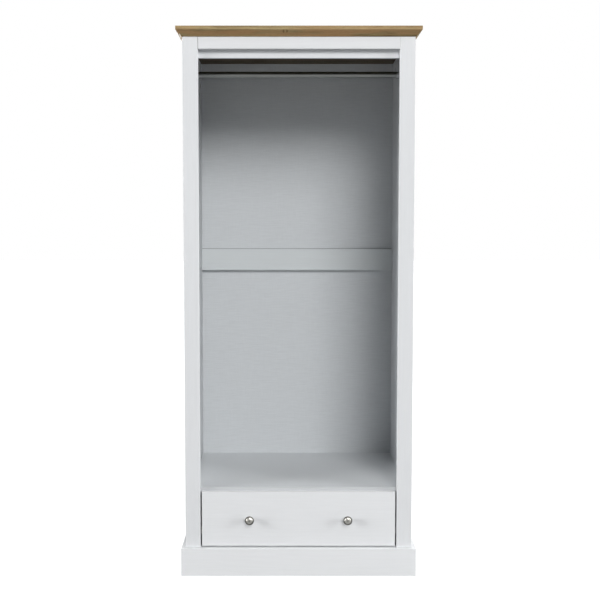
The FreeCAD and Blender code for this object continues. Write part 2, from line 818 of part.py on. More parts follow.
def rail_socket():
    """Cup screwed to the side panel, open at the top so that the rail drops in."""
    z = carcass_top - rail_drop
    bore = rail_diameter / 2 + rail_clearance
    face = point(side_inner, y_mid, z)
    cup = rod(face, -X, socket_depth, bore + socket_wall)
    hollow = rod(face - X * socket_base, -X, socket_depth, bore)
    mouth = board(side_inner - socket_depth - socket_wall, side_inner - socket_base,
                  y_mid - bore, y_mid + bore, z, z + bore + 2 * socket_wall)
    return cut_all(cup, [hollow, mouth] + [f[1] for f in socket_screws()])


# ---- Write every sub-part ----

def fixing_pairs():
    """Cam and dowel at the right-hand end of each cross rail."""
    return [stop_rail_fixings(), base_rail_fixings(rail_mid_y, Y),
            base_rail_fixings(rear_mid_y, -Y), back_rail_fixings()]


def write_pair(name, solids):
    """Write a piece for the right, and its mirror image for the left."""
    write("right_" + name, solids)
    write("left_" + name, [mirrored(s) for s in solids])


def write_carcass():
    write_pair("side_panel", [side_panel()])
    write("top_panel", [top_panel()])
    write("deck_panel", [deck_panel()])
    write("stop_rail", [stop_rail()])
    write("front_base_rail", [front_base_rail()])
    write("rear_base_rail", [rear_base_rail()])
    write("middle_back_rail", [middle_back_rail()])
    joint = back_rail_bottom + back_rail_height / 2
    write("upper_back_panel", [back_panel(joint + back_joint_gap / 2,
                                          carcass_top + back_top_lap)])
    write("lower_back_panel", [back_panel(back_bottom_height, joint - back_joint_gap / 2)])


def write_frame_and_plinth():
    head_peg, foot_peg = frame_dowels()
    write_pair("stile", [stile()])
    write("head_rail", [frame_rail(opening_top, carcass_top, head_peg,
                                   [f[1] for f in head_rail_screws()])])
    write("foot_rail", [frame_rail(0, plinth_height, foot_peg,
                                   [f[1] for f in plinth_front_screws()])])
    write("plinth_front", [plinth_front()])
    write_pair("plinth_side", [plinth_side()])


def write_drawer_compartment():
    write_pair("runner_board", [runner_board()])
    write_pair("spacer_battens", spacer_battens())
    write_pair("cabinet_runner", [cabinet_runner()])
    write_pair("cabinet_roller", [roller(front_roller_place, front_roller_radius)])
    write("cabinet_roller_pins", both_sides([cabinet_roller_pin()]))


def write_drawer():
    write("drawer_front", [drawer_front()])
    write_pair("drawer_side", [drawer_side()])
    write("drawer_back", [drawer_back()])
    write("drawer_bottom", [drawer_bottom()])
    write_pair("drawer_runner", [drawer_runner()])
    write_pair("drawer_roller", [roller(drawer_roller_place, drawer_roller_radius)])
    write("drawer_roller_pins", both_sides([drawer_roller_pin()]))
    for side, x in (("left", -knob_spacing / 2), ("right", knob_spacing / 2)):
        write(side + "_knob", [knob(x)])
    write("knob_screws", [knob_screw(x) for x in (-knob_spacing / 2, knob_spacing / 2)])


def write_hanging_rail():
    write("hanging_rail", [hanging_rail()])
    write_pair("rail_socket", [rail_socket()])


def write_fasteners():
    cams = deck_cams() + top_cams() + stile_cams() + [cam for cam, peg in fixing_pairs()]
    pegs = deck_dowels() + frame_dowels() + [peg for cam, peg in fixing_pairs()]
    write("carcass_cam_discs", both_sides([f[0] for f in cams]))
    write("carcass_cam_bolts", both_sides([f[1] for f in cams]))
    write("carcass_dowels", both_sides([f[0] for f in pegs]))
    write("drawer_cam_discs", both_sides([f[0] for f in drawer_front_cams()]))
    write("drawer_cam_bolts", both_sides([f[1] for f in drawer_front_cams()]))
    write("rail_socket_screws", both_sides([f[0] for f in socket_screws()]))
    write("cabinet_runner_screws", both_sides([f[0] for f in cabinet_runner_screws()]))
    write("drawer_runner_screws", both_sides([f[0] for f in drawer_runner_screws()]))
    write("drawer_back_screws", both_sides([f[0] for f in drawer_back_screws()]))
    write("drawer_bottom_screws", [f[0] for f in drawer_bottom_screws()])
    write("runner_board_screws", both_sides([f[0] for f in runner_board_screws()]))
    write("head_rail_screws", [f[0] for f in head_rail_screws()])
    plinth_screws = both_sides([f[0] for f in plinth_side_screws()])
    write("plinth_screws", plinth_screws + [f[0] for f in plinth_front_screws()])


os.makedirs("parts", exist_ok=True)
write_carcass()
write_frame_and_plinth()
write_drawer_compartment()
write_drawer()
write_hanging_rail()
write_fasteners()
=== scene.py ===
import math

import bmesh
import bpy
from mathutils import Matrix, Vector


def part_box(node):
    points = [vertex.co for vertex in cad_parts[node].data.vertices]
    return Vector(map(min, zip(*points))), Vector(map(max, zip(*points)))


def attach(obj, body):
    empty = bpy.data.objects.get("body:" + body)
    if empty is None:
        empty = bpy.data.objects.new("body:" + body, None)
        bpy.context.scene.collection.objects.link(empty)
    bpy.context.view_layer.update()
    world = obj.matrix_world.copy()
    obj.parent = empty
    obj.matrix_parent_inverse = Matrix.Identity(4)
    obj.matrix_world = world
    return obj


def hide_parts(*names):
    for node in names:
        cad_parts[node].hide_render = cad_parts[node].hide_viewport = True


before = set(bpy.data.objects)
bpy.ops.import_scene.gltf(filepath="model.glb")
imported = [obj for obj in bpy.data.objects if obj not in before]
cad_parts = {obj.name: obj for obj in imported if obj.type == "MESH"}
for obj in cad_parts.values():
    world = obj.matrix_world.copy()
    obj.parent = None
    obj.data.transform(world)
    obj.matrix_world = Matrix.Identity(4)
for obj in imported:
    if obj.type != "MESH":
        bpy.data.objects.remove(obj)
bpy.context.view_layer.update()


# ---- Camera ----
# Stands a little left of the middle at chest height, three metres off, and looks
# straight back with a slight downward tilt.

camera_distance = 3.038
camera_left = 0.04068
camera_height = 1.15844
camera_tilt = math.radians(3.652)
face_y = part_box("left_stile")[0].y


def put_in_scene(name, data):
    """A new object in the scene, made from a mesh, a lamp or a camera."""
    piece = bpy.data.objects.new(name, data)
    bpy.context.scene.collection.objects.link(piece)
    return piece


camera = put_in_scene("camera", bpy.data.cameras.new("camera"))
camera.location = (-camera_left, face_y - camera_distance, camera_height)
camera.rotation_euler = (math.pi / 2 - camera_tilt, 0, 0)
camera.data.sensor_width = 36
camera.data.lens = 55.4926
camera.data.shift_x = 0.02275
camera.data.shift_y = -0.02034
bpy.context.scene.camera = camera


# ---- Side panels ----
# Chipboard wrapped in a white foil with a faint wood-grain emboss that runs up the board.
# The foil covers the faces and the front edge; the rear, top and bottom edges and every
# drilled hole show raw chipboard.

foil_white = (0.655, 0.668, 0.683, 1)
foil_roughness = 0.46
foil_specular = 0.3
worn_and_lit_edge_width = 0.0022
on_face = 0.00005
chip_light = (0.52, 0.39, 0.24, 1)
chip_dark = (0.27, 0.18, 0.10, 1)
grain_turn = {"x": (0, 0, 0), "y": (0, 0, math.pi / 2), "z": (0, math.pi / 2, 0)}


def add(tree, kind, inputs=None, **settings):
    """Put a node in a tree. Inputs are plain values or another node's output."""
    node = tree.nodes.new(kind)
    for name, value in settings.items():
        setattr(node, name, value)
    for key, value in (inputs or {}).items():
        if isinstance(value, bpy.types.NodeSocket):
            tree.links.new(value, node.inputs[key])
        else:
            node.inputs[key].default_value = value
    return node


def calc(tree, operation, *values):
    """One step of arithmetic on numbers."""
    node = add(tree, "ShaderNodeMath", dict(enumerate(values)), operation=operation)
    return node.outputs[0]


def calc3(tree, operation, *values):
    """One step of arithmetic on vectors."""
    node = add(tree, "ShaderNodeVectorMath", dict(enumerate(values)), operation=operation)
    return node.outputs[0]


def measure(tree, vector):
    """How long a vector is."""
    node = add(tree, "ShaderNodeVectorMath", {0: vector}, operation="LENGTH")
    return node.outputs["Value"]


def split_xyz(tree, vector):
    """The X, Y and Z of a vector."""
    return add(tree, "ShaderNodeSeparateXYZ", {0: vector}).outputs


def join_xyz(tree, x=0.0, y=0.0, z=0.0):
    """A vector from its X, Y and Z."""
    return add(tree, "ShaderNodeCombineXYZ", {0: x, 1: y, 2: z}).outputs[0]


def mix(tree, factor, first, second):
    """Blend two colours."""
    inputs = {0: factor, 6: first, 7: second}
    return add(tree, "ShaderNodeMix", inputs, data_type="RGBA").outputs[2]


def mix_values(tree, factor, first, second):
    """Blend two numbers."""
    return add(tree, "ShaderNodeMix", {0: factor, 2: first, 3: second}).outputs[0]


def scaled(colour, factor):
    """A colour made lighter or darker."""
    return tuple(part * factor for part in colour[:3]) + (1,)


def ramp(tree, value, low, high, to_low=0.0, to_high=1.0):
    """Stretch a value smoothly from one range to another, and stop at its ends."""
    inputs = {0: value, 1: low, 2: high, 3: to_low, 4: to_high}
    node = add(tree, "ShaderNodeMapRange", inputs, interpolation_type="SMOOTHSTEP")
    return node.outputs[0]


def noise(tree, place, stretch, detail=4.0, roughness=0.55):
    """Noise with its own scale along each axis."""
    moved = calc3(tree, "MULTIPLY", place, stretch)
    inputs = {"Vector": moved, "Scale": 1.0, "Detail": detail, "Roughness": roughness}
    return add(tree, "ShaderNodeTexNoise", inputs).outputs["Fac"]


def shader_group(name, inputs, outputs):
    """An empty shader node group with named sockets, and its two end nodes."""
    tree = bpy.data.node_groups.new(name, "ShaderNodeTree")
    for in_out, sockets in (("INPUT", inputs), ("OUTPUT", outputs)):
        for label, kind in sockets.items():
            tree.interface.new_socket(label, in_out=in_out, socket_type="NodeSocket" + kind)
    return tree, tree.nodes.new("NodeGroupInput"), tree.nodes.new("NodeGroupOutput")


def place_group(tree, group, **inputs):
    """Use a group in a material; underscores in the names stand for spaces."""
    labelled = {name.replace("_", " "): value for name, value in inputs.items()}
    return add(tree, "ShaderNodeGroup", labelled, node_tree=group)


def make_board_faces():
    """Tells where on a board a point lies: near one of its edges, or on raw chipboard."""
    tree, start, end = shader_group(
        "board_faces",
        {"Place": "Vector", "Centre": "Vector", "Half": "Vector", "Raw Low": "Vector",
         "Raw High": "Vector", "Edge Width": "Float"},
        {"Edge": "Float", "Raw": "Float"})
    skin = 0.0016
    offset = calc3(tree, "SUBTRACT", start.outputs["Place"], start.outputs["Centre"])
    gap = calc3(tree, "SUBTRACT", start.outputs["Half"], calc3(tree, "ABSOLUTE", offset))
    split = [split_xyz(tree, vector) for vector in
             (offset, gap, start.outputs["Raw Low"], start.outputs["Raw High"])]
    raw = 0.0
    for side, depth, raw_low, raw_high in zip(*split):
        is_high = calc(tree, "GREATER_THAN", side, 0.0)
        here = calc(tree, "MULTIPLY_ADD", calc(tree, "SUBTRACT", raw_high, raw_low), is_high,
                    raw_low)
        flush = calc(tree, "LESS_THAN", depth, on_face)
        raw = calc(tree, "MAXIMUM", raw, calc(tree, "MULTIPLY", here, flush))
    a, b, c = split[1]
    nearest = calc(tree, "MINIMUM", calc(tree, "MINIMUM", a, b), c)
    in_hole = calc(tree, "GREATER_THAN", nearest, skin)
    middle = calc(tree, "MAXIMUM", calc(tree, "MINIMUM", a, b),
                  calc(tree, "MINIMUM", calc(tree, "MAXIMUM", a, b), c))
    edge = ramp(tree, middle, 0.0, start.outputs["Edge Width"], 1.0, 0.0)
    tree.links.new(calc(tree, "MAXIMUM", raw, in_hole), end.inputs["Raw"])
    tree.links.new(edge, end.inputs["Edge"])
    return tree


def make_foil_emboss():
    """Faint pressed wood grain. It runs along X of the coordinates that it is given."""
    tree, start, end = shader_group(
        "foil_emboss", {"Along": "Vector"}, {"Tone": "Float", "Height": "Float"})
    along = start.outputs["Along"]
    wander = noise(tree, along, (2.0, 9.0, 9.0), detail=2.0)
    shift = calc(tree, "MULTIPLY", wander, 0.05)
    bent = calc3(tree, "ADD", along, join_xyz(tree, y=shift, z=shift))
    fibre = noise(tree, bent, (7.0, 160.0, 160.0), detail=5.0, roughness=0.6)
    pores = ramp(tree, noise(tree, bent, (60.0, 1300.0, 1300.0), detail=2.0), 0.56, 0.7)
    cloud = noise(tree, along, (1.4, 4.0, 4.0), detail=2.0)
    tone = calc(tree, "MULTIPLY_ADD", fibre, 0.65, calc(tree, "MULTIPLY", cloud, 0.35))
    height = calc(tree, "SUBTRACT", fibre, calc(tree, "MULTIPLY", pores, 0.6))
    tree.links.new(tone, end.inputs["Tone"])
    tree.links.new(height, end.inputs["Height"])
    return tree


def make_chipboard():
    """Pressed wood flakes, as a sawn or drilled board shows them."""
    tree, start, end = shader_group(
        "chipboard", {"Place": "Vector"}, {"Flakes": "Float", "Height": "Float"})
    place = start.outputs["Place"]
    flakes = add(tree, "ShaderNodeTexVoronoi", {"Vector": place, "Scale": 420.0})
    shade = split_xyz(tree, flakes.outputs["Color"])[0]
    dust = noise(tree, place, (900.0, 900.0, 900.0), detail=3.0)
    tree.links.new(calc(tree, "MULTIPLY_ADD", shade, 0.6, calc(tree, "MULTIPLY", dust, 0.4)),
                   end.inputs["Flakes"])
    tree.links.new(calc(tree, "ADD", flakes.outputs["Distance"], dust), end.inputs["Height"])
    return tree


board_faces = make_board_faces()
foil_emboss = make_foil_emboss()
chipboard = make_chipboard()


def new_material(name):
    """A material, its node tree, its shader and the coordinates that its patterns read."""
    material = bpy.data.materials.new(name)
    material.use_nodes = True
    tree = material.node_tree
    place = add(tree, "ShaderNodeTexCoord").outputs["Object"]
    return material, tree, tree.nodes["Principled BSDF"], place


def surface(tree, shader, colour, roughness, height, depth):
    """Link a shader's colour and roughness, and raise it by a pattern; depth in metres."""
    raised = add(tree, "ShaderNodeBump", {"Height": height, "Distance": depth})
    tree.links.new(colour, shader.inputs["Base Color"])
    tree.links.new(roughness, shader.inputs["Roughness"])
    tree.links.new(raised.outputs[0], shader.inputs["Normal"])


def turned(tree, place, grain):
    """Coordinates turned so that the grain runs along their X."""
    inputs = {"Vector": place, "Rotation": grain_turn[grain]}
    return add(tree, "ShaderNodeMapping", inputs).outputs[0]


def dress(node, material):
    """Give a CAD node its finish."""
    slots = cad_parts[node].data.materials
    slots.clear()
    slots.append(material)


def white_board(node, grain, raw_low=(0, 0, 0), raw_high=(0, 0, 0), white=foil_white):
    """Foil-wrapped board. The raw sides are given as 1 for each axis, low and high end."""
    low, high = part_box(node)
    material, tree, shader, place = new_material(node + "_foil")
    faces = place_group(tree, board_faces, Place=place, Centre=(low + high) / 2,
                        Half=(high - low) / 2, Raw_Low=raw_low, Raw_High=raw_high,
                        Edge_Width=worn_and_lit_edge_width)
    emboss = place_group(tree, foil_emboss, Along=turned(tree, place, grain))
    chips = place_group(tree, chipboard, Place=place)
    shader.inputs["Specular IOR Level"].default_value = foil_specular
    tone = emboss.outputs["Tone"]
    foil = mix(tree, ramp(tree, tone, 0.3, 0.68), scaled(white, 0.965), white)
    # Lighter along the edges: partly wear on the foil, partly a painted highlight where the
    # edges catch the light.
    worn_and_lit_edge = calc(tree, "MULTIPLY", faces.outputs["Edge"], 0.6)
    foil = mix(tree, worn_and_lit_edge, foil, scaled(white, 1.035))
    chip = mix(tree, chips.outputs["Flakes"], chip_dark, chip_light)
    raw = faces.outputs["Raw"]
    foil_gloss = ramp(tree, tone, 0.2, 0.8, foil_roughness - 0.05, foil_roughness + 0.06)
    rough = calc(tree, "MAXIMUM", foil_gloss, calc(tree, "MULTIPLY", raw, 0.9))
    height = mix_values(tree, raw, emboss.outputs["Height"], chips.outputs["Height"])
    surface(tree, shader, mix(tree, raw, foil, chip), rough, height, depth=0.00012)
    dress(node, material)


for side in ("left", "right"):
    white_board(side + "_side_panel", "z", raw_low=(0, 0, 1), raw_high=(0, 1, 1))


# ---- Deck and cross rails ----
# The same foil-wrapped chipboard, lying across the carcass with its grain from side to
# side. Their ends butt against the side panels and stay raw. The deck's front edge is
# painted a greyer white as shade.

def thin_line(node, axis, level, half_width, colour):
    """A straight line of another colour across a dressed node, at a level on one axis."""
    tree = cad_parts[node].data.materials[0].node_tree
    socket = tree.nodes["Principled BSDF"].inputs["Base Color"]
    place = add(tree, "ShaderNodeTexCoord").outputs["Object"]
    near = calc(tree, "COMPARE", split_xyz(tree, place)[axis.upper()], level, half_width)
    tree.links.new(mix(tree, near, socket.links[0].from_socket, colour), socket)


# The deck and the middle back rail are copies of the foil white, the deck darker and the rail
# cooler: painted interior shade.
deck_shade_white = (0.622, 0.640, 0.654, 1)
back_rail_shade_white = (0.660, 0.692, 0.702, 1)
deck_edge_shade_white = (0.505, 0.518, 0.532, 1)
deck_edge_shade_reach = 0.0008
deck_low, deck_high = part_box("deck_panel")

white_board("deck_panel", "x", raw_low=(1, 0, 0), raw_high=(1, 1, 0), white=deck_shade_white)
# Painted shade: the deck's front edge in a greyer white.
thin_line("deck_panel", "y", deck_low.y, deck_edge_shade_reach, deck_edge_shade_white)
for node in ("stop_rail", "front_base_rail", "rear_base_rail"):
    white_board(node, "x", raw_low=(1, 0, 0), raw_high=(1, 0, 0))
white_board("middle_back_rail", "x", raw_low=(1, 0, 0), raw_high=(1, 0, 0),
            white=back_rail_shade_white)


# ---- Back panels ----
# Thin hardboard in two pieces, printed white on the inside with a fine linen texture and
# left brown and smooth behind, as it comes off the press. A thin grey line of painted
# shadow runs along the upper one just above the middle rail.

print_white = (0.648, 0.672, 0.690, 1)
hardboard_light = (0.30, 0.185, 0.10, 1)
hardboard_dark = (0.205, 0.12, 0.062, 1)
painted_shadow_grey = (0.34, 0.35, 0.36, 1)
painted_shadow_half_width = 0.0014
rail_low, rail_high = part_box("middle_back_rail")


def printed_hardboard(node, axis, printed_low):
    """Thin board with one printed face; axis is across it, and the printed face is at its
    low or its high end."""
    low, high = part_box(node)
    material, tree, shader, place = new_material(node + "_hardboard")
    middle = (getattr(low, axis) + getattr(high, axis)) / 2
    bare_side = "GREATER_THAN" if printed_low else "LESS_THAN"
    bare = calc(tree, bare_side, split_xyz(tree, place)[axis.upper()], middle)
    threads = noise(tree, place, (22.0, 22.0, 520.0), detail=3.0)
    cross_threads = noise(tree, place, (520.0, 22.0, 22.0), detail=3.0)
    cloud = noise(tree, place, (3.0, 3.0, 6.0), detail=3.0)
    weave = calc(tree, "MULTIPLY_ADD", threads, 0.7, calc(tree, "MULTIPLY", cross_threads, 0.3))
    printed = mix(tree, ramp(tree, weave, 0.35, 0.65), scaled(print_white, 0.93), print_white)
    flecks = noise(tree, place, (160.0, 160.0, 160.0), detail=6.0, roughness=0.7)
    streaks = calc(tree, "MULTIPLY_ADD", flecks, 0.6, calc(tree, "MULTIPLY", cloud, 0.4))
    brown = mix(tree, ramp(tree, streaks, 0.35, 0.65), hardboard_dark, hardboard_light)
    surface(tree, shader, mix(tree, bare, printed, brown),
            ramp(tree, streaks, 0.2, 0.8, 0.52, 0.68),
            mix_values(tree, bare, weave, flecks), depth=0.00014)
    dress(node, material)


for node in ("upper_back_panel", "lower_back_panel"):
    printed_hardboard(node, "y", printed_low=True)
# Painted shadow: a thin grey line on the upper panel along the middle rail's top.
thin_line("upper_back_panel", "z", rail_high.z + painted_shadow_half_width, painted_shadow_half_width, painted_shadow_grey)


# ---- Panel pins ----
# Small steel pins with flat heads nail the back panels to the rear edges of the carcass,
# about every hand's width, hammered flush.

pin_spacing = 0.11
pin_end_gap = 0.022
pin_head_radius = 0.0024
pin_head_taper = 0.86
pin_head_rise = 0.00015
pin_shank_radius = 0.0007
pin_length = 0.018
pin_grey = (0.46, 0.46, 0.47, 1)


def straight_rows(name, rows):
    """A mesh of separate straight edges, each from one point to another."""
    mesh = bpy.data.meshes.new(name)
    points = [p for row in rows for p in row]
    mesh.from_pydata(points, [(i, i + 1) for i in range(0, len(points), 2)], [])
    return put_in_scene(name, mesh)


def geometry_tree(name, inputs):
    """An empty Geometry Nodes tree with named inputs, and its two end nodes."""
    tree = bpy.data.node_groups.new(name, "GeometryNodeTree")
    tree.interface.new_socket("Geometry", in_out="OUTPUT", socket_type="NodeSocketGeometry")
    tree.interface.new_socket("Geometry", in_out="INPUT", socket_type="NodeSocketGeometry")
    for label, kind in inputs.items():
        tree.interface.new_socket(label, in_out="INPUT", socket_type="NodeSocket" + kind)
    return tree, tree.nodes.new("NodeGroupInput"), tree.nodes.new("NodeGroupOutput")


def grow(piece, tree, **values):
    """Run a Geometry Nodes tree on a piece and keep the result as its plain mesh."""
    modifier = piece.modifiers.new("grow", "NODES")
    modifier.node_group = tree
    for item in tree.interface.items_tree:
        key = item.name.replace(" ", "_").lower()
        if item.in_out == "INPUT" and key in values:
            modifier[item.identifier] = values[key]
    scene_now = bpy.context.evaluated_depsgraph_get()
    grown = bpy.data.meshes.new_from_object(piece.evaluated_get(scene_now))
    piece.modifiers.remove(modifier)
    piece.data = grown
    return piece


def cone(tree, sides, bottom, top, depth):
    """A cone or, with two equal radii, a cylinder that stands on its origin."""
    inputs = {"Vertices": sides, "Radius Bottom": bottom, "Radius Top": top, "Depth": depth}
    return add(tree, "GeometryNodeMeshCone", inputs).outputs["Mesh"]


def shifted(tree, geometry, z=0.0, turn=(0, 0, 0), scale=(1, 1, 1)):
    """Geometry that is scaled, turned and then moved along Z."""
    inputs = {"Geometry": geometry, "Translation": join_xyz(tree, z=z), "Rotation": turn,
              "Scale": scale}
    return add(tree, "GeometryNodeTransform", inputs).outputs[0]


def joined(tree, pieces):
    """Several geometries as one."""
    node = tree.nodes.new("GeometryNodeJoinGeometry")
    for piece in pieces:
        tree.links.new(piece, node.inputs[0])
    return node.outputs[0]


def give_copies(tree, end, points, one, material, turn=(0, 0, 0)):
    """End a tree with a real copy of one geometry at each point."""
    placed = add(tree, "GeometryNodeInstanceOnPoints", {
        "Points": points, "Instance": one, "Rotation": turn})
    whole = add(tree, "GeometryNodeRealizeInstances", {0: placed.outputs[0]})
    painted = add(tree, "GeometryNodeSetMaterial", {
        "Geometry": whole.outputs[0], "Material": material})
    tree.links.new(painted.outputs[0], end.inputs[0])


def make_pin_rows():
    """A pin every so often along straight rows, driven towards -Y."""
    tree, start, end = geometry_tree("pin_rows", {
        "Spacing": "Float", "Head Radius": "Float", "Head Rise": "Float",
        "Shank Radius": "Float", "Shank Length": "Float", "Finish": "Material"})
    value = start.outputs
    rows = add(tree, "GeometryNodeMeshToCurve", {"Mesh": value["Geometry"]})
    spots = add(tree, "GeometryNodeResampleCurve", {
        "Curve": rows.outputs[0], "Length": value["Spacing"]}, mode="LENGTH")
    head = cone(tree, 20, value["Head Radius"],
                calc(tree, "MULTIPLY", value["Head Radius"], pin_head_taper),
                calc(tree, "MULTIPLY", value["Head Rise"], 2.0))
    shank = add(tree, "GeometryNodeMeshCylinder", {
        "Vertices": 10, "Radius": value["Shank Radius"], "Depth": value["Shank Length"]})
    pin = joined(tree, (
        shifted(tree, head, calc(tree, "MULTIPLY", value["Head Rise"], -1.0)),
        shifted(tree, shank.outputs["Mesh"],
                calc(tree, "MULTIPLY", value["Shank Length"], -0.5))))
    upright = shifted(tree, pin, turn=(-math.pi / 2, 0, 0))
    give_copies(tree, end, spots.outputs[0], upright, value["Finish"])
    return tree


def plated_steel(name, colour, roughness):
    """Zinc-plated steel: slightly blotched, with fine scratches."""
    material, tree, shader, place = new_material(name)
    shader.inputs["Metallic"].default_value = 1
    blotch = noise(tree, place, (260.0, 260.0, 260.0), detail=4.0)
    scratch = noise(tree, place, (3000.0, 300.0, 3000.0), detail=2.0)
    surface(tree, shader,
            mix(tree, ramp(tree, blotch, 0.3, 0.7), scaled(colour, 0.72), colour),
            ramp(tree, blotch, 0.25, 0.75, roughness - 0.08, roughness + 0.12),
            scratch, depth=0.00002)
    return material


pin_steel = plated_steel("pin_steel", pin_grey, roughness=0.36)
back_low, back_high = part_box("lower_back_panel")
upper_low, upper_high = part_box("upper_back_panel")
side_low, side_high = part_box("right_side_panel")
base_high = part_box("rear_base_rail")[1]
pin_x = (side_low.x + side_high.x) / 2
pin_y = back_high.y
pin_inner = side_low.x - pin_end_gap
level_rows = (
    (upper_high.z + side_high.z) / 2,      # into the top
    (back_high.z + rail_low.z) / 2,        # into the middle rail, lower panel
    (upper_low.z + rail_high.z) / 2,       # into the middle rail, upper panel
    (deck_low.z + deck_high.z) / 2,        # into the deck
    (back_low.z + base_high.z) / 2,        # into the rear base rail
)
pin_rows = [((-pin_inner, pin_y, z), (pin_inner, pin_y, z)) for z in level_rows]
for x in (-pin_x, pin_x):
    for low, high in ((back_low.z, back_high.z), (upper_low.z, upper_high.z)):
        pin_rows.append(((x, pin_y, low + pin_end_gap), (x, pin_y, high - pin_end_gap)))
panel_pins = grow(straight_rows("panel_pins", pin_rows), make_pin_rows(), spacing=pin_spacing,
                  head_radius=pin_head_radius, head_rise=pin_head_rise,
                  shank_radius=pin_shank_radius, shank_length=pin_length, finish=pin_steel)
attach(panel_pins, "carcass")


# ---- Top ----
# A thick board in oak-effect foil, mitred round the front corners: an upright band over a
# 45 degree slope. The grain runs with each edge, with a few small knots. The underside is
# painted much darker as shade, and the slope takes a redder painted shade tint.

oak_light = (0.385, 0.305, 0.150, 1)
oak_mid = (0.290, 0.216, 0.100, 1)
oak_dark = (0.138, 0.084, 0.034, 1)
oak_red = (0.400, 0.232, 0.104, 1)
oak_underside_shade = (0.032, 0.023, 0.009, 1)
oak_knots = ((-0.050, 1.793), (-0.0385, 1.793))
oak_knot_stretch = (260, 0, 190)
top_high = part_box("top_panel")[1]


def make_oak_grain():
    """Long streaks, rings and pores of oak along X of the coordinates."""
    tree, start, end = shader_group(
        "oak_grain", {"Along": "Vector"},
        {"Streak": "Float", "Pore": "Float", "Knot": "Float", "Height": "Float"})
    along = start.outputs["Along"]
    wander = noise(tree, along, (3.0, 14.0, 14.0), detail=3.0)
    shift = calc(tree, "MULTIPLY", wander, 0.028)
    bent = calc3(tree, "ADD", along, join_xyz(tree, y=shift, z=shift))
    knots = add(tree, "ShaderNodeTexVoronoi", {
        "Vector": calc3(tree, "MULTIPLY", bent, (5.0, 13.0, 13.0)), "Scale": 1.0})
    knot = ramp(tree, knots.outputs["Distance"], 0.03, 0.11, 0.8, 0.0)
    rings = noise(tree, bent, (1.3, 75.0, 75.0), detail=3.0, roughness=0.5)
    fibre = noise(tree, bent, (9.0, 420.0, 420.0), detail=5.0, roughness=0.62)
    streak = calc(tree, "MULTIPLY_ADD", rings, 0.6, calc(tree, "MULTIPLY", fibre, 0.4))
    pore = ramp(tree, noise(tree, bent, (55.0, 1700.0, 1700.0), detail=2.0), 0.55, 0.66)
    height = calc(tree, "SUBTRACT", fibre, calc(tree, "MULTIPLY", pore, 0.9))
    for label, value in (("Streak", streak), ("Pore", pore), ("Knot", knot),
                         ("Height", height)):
        tree.links.new(value, end.inputs[label])
    return tree


def on_slope(tree, facing):
    """1 where the foil lies on the 45 degree slope and 0 on level and upright faces."""
    steepest = calc(tree, "MAXIMUM", calc(tree, "MAXIMUM", facing[0], facing[1]), facing[2])
    return calc(tree, "LESS_THAN", steepest, 0.9)


def oak_foil():
    """Oak-effect foil of the top: the mitre parts the grain of the front from the sides'."""
    material, tree, shader, place = new_material("oak_effect_foil")
    shader.inputs["Specular IOR Level"].default_value = foil_specular
    normal = add(tree, "ShaderNodeNewGeometry").outputs["Normal"]
    facing = split_xyz(tree, calc3(tree, "ABSOLUTE", normal))
    on_side = calc(tree, "GREATER_THAN", facing[0], 0.5)
    grain_x = turned(tree, place, "x")
    grain_y = turned(tree, place, "y")
    along = add(tree, "ShaderNodeMix", {0: on_side, 4: grain_x, 5: grain_y},
                data_type="VECTOR").outputs[1]
    oak = place_group(tree, oak_grain, Along=along)
    streak = oak.outputs["Streak"]
    colour = mix(tree, ramp(tree, streak, 0.36, 0.52), oak_dark, oak_mid)
    colour = mix(tree, ramp(tree, streak, 0.47, 0.66), colour, oak_light)
    warm = ramp(tree, noise(tree, along, (5.0, 40.0, 40.0), detail=2.0), 0.40, 0.60)
    # The slope takes more of the red: a painted shade tint on the downward-facing slope.
    share = calc(tree, "MULTIPLY_ADD", on_slope(tree, facing), 0.45, 0.35)
    colour = mix(tree, calc(tree, "MULTIPLY", warm, share), colour, oak_red)
    colour = mix(tree, calc(tree, "MULTIPLY", oak.outputs["Pore"], 0.45), colour, oak_dark)
    knot = oak.outputs["Knot"]
    ragged = noise(tree, place, (260.0, 260.0, 260.0), detail=3.0)
    for x, z in oak_knots:
        offset = calc3(tree, "SUBTRACT", place, (x, 0, z))
        away = measure(tree, calc3(tree, "MULTIPLY", offset, oak_knot_stretch))
        away = calc(tree, "ADD", away, ragged)
        knot = calc(tree, "MAXIMUM", knot, ramp(tree, away, 0.9, 1.6, 1.0, 0.0))
    colour = mix(tree, calc(tree, "MULTIPLY", knot, 0.75), colour, oak_dark)
    at_rear = calc(tree, "GREATER_THAN", split_xyz(tree, place)[1], top_high.y - on_face)
    chips = place_group(tree, chipboard, Place=place)
    raw = mix(tree, chips.outputs["Flakes"], chip_dark, chip_light)
    # Painted shade: faces that look down are darkened almost to black brown.
    shaded_underside = calc(tree, "LESS_THAN", split_xyz(tree, normal)[2], -0.9)
    colour = mix(tree, calc(tree, "MULTIPLY", shaded_underside, 0.85), colour, oak_underside_shade)
    surface(tree, shader, mix(tree, at_rear, colour, raw),
            ramp(tree, streak, 0.2, 0.8, 0.66, 0.54), oak.outputs["Height"], depth=0.0001)
    return material


oak_grain = make_oak_grain()
dress("top_panel", oak_foil())


# ---- Face frame ----
# Stiles with upright grain and rails with level grain, butted together and dowelled, with
# their long front edges just broken. The head rail's left joint shows as a hairline.

# The stiles are a lighter copy of the foil white: painted light on the front.
frame_lit_white = (0.668, 0.681, 0.696, 1)
joint_grey = (0.16, 0.16, 0.16, 1)
joint_half_width = 0.0013

for side in ("left", "right"):
    white_board(side + "_stile", "z", raw_low=(0, 0, 1), raw_high=(0, 0, 1), white=frame_lit_white)
for node in ("head_rail", "foot_rail"):
    white_board(node, "x", raw_low=(1, 0, 0), raw_high=(1, 0, 0))
thin_line("head_rail", "x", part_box("head_rail")[0].x, joint_half_width, joint_grey)


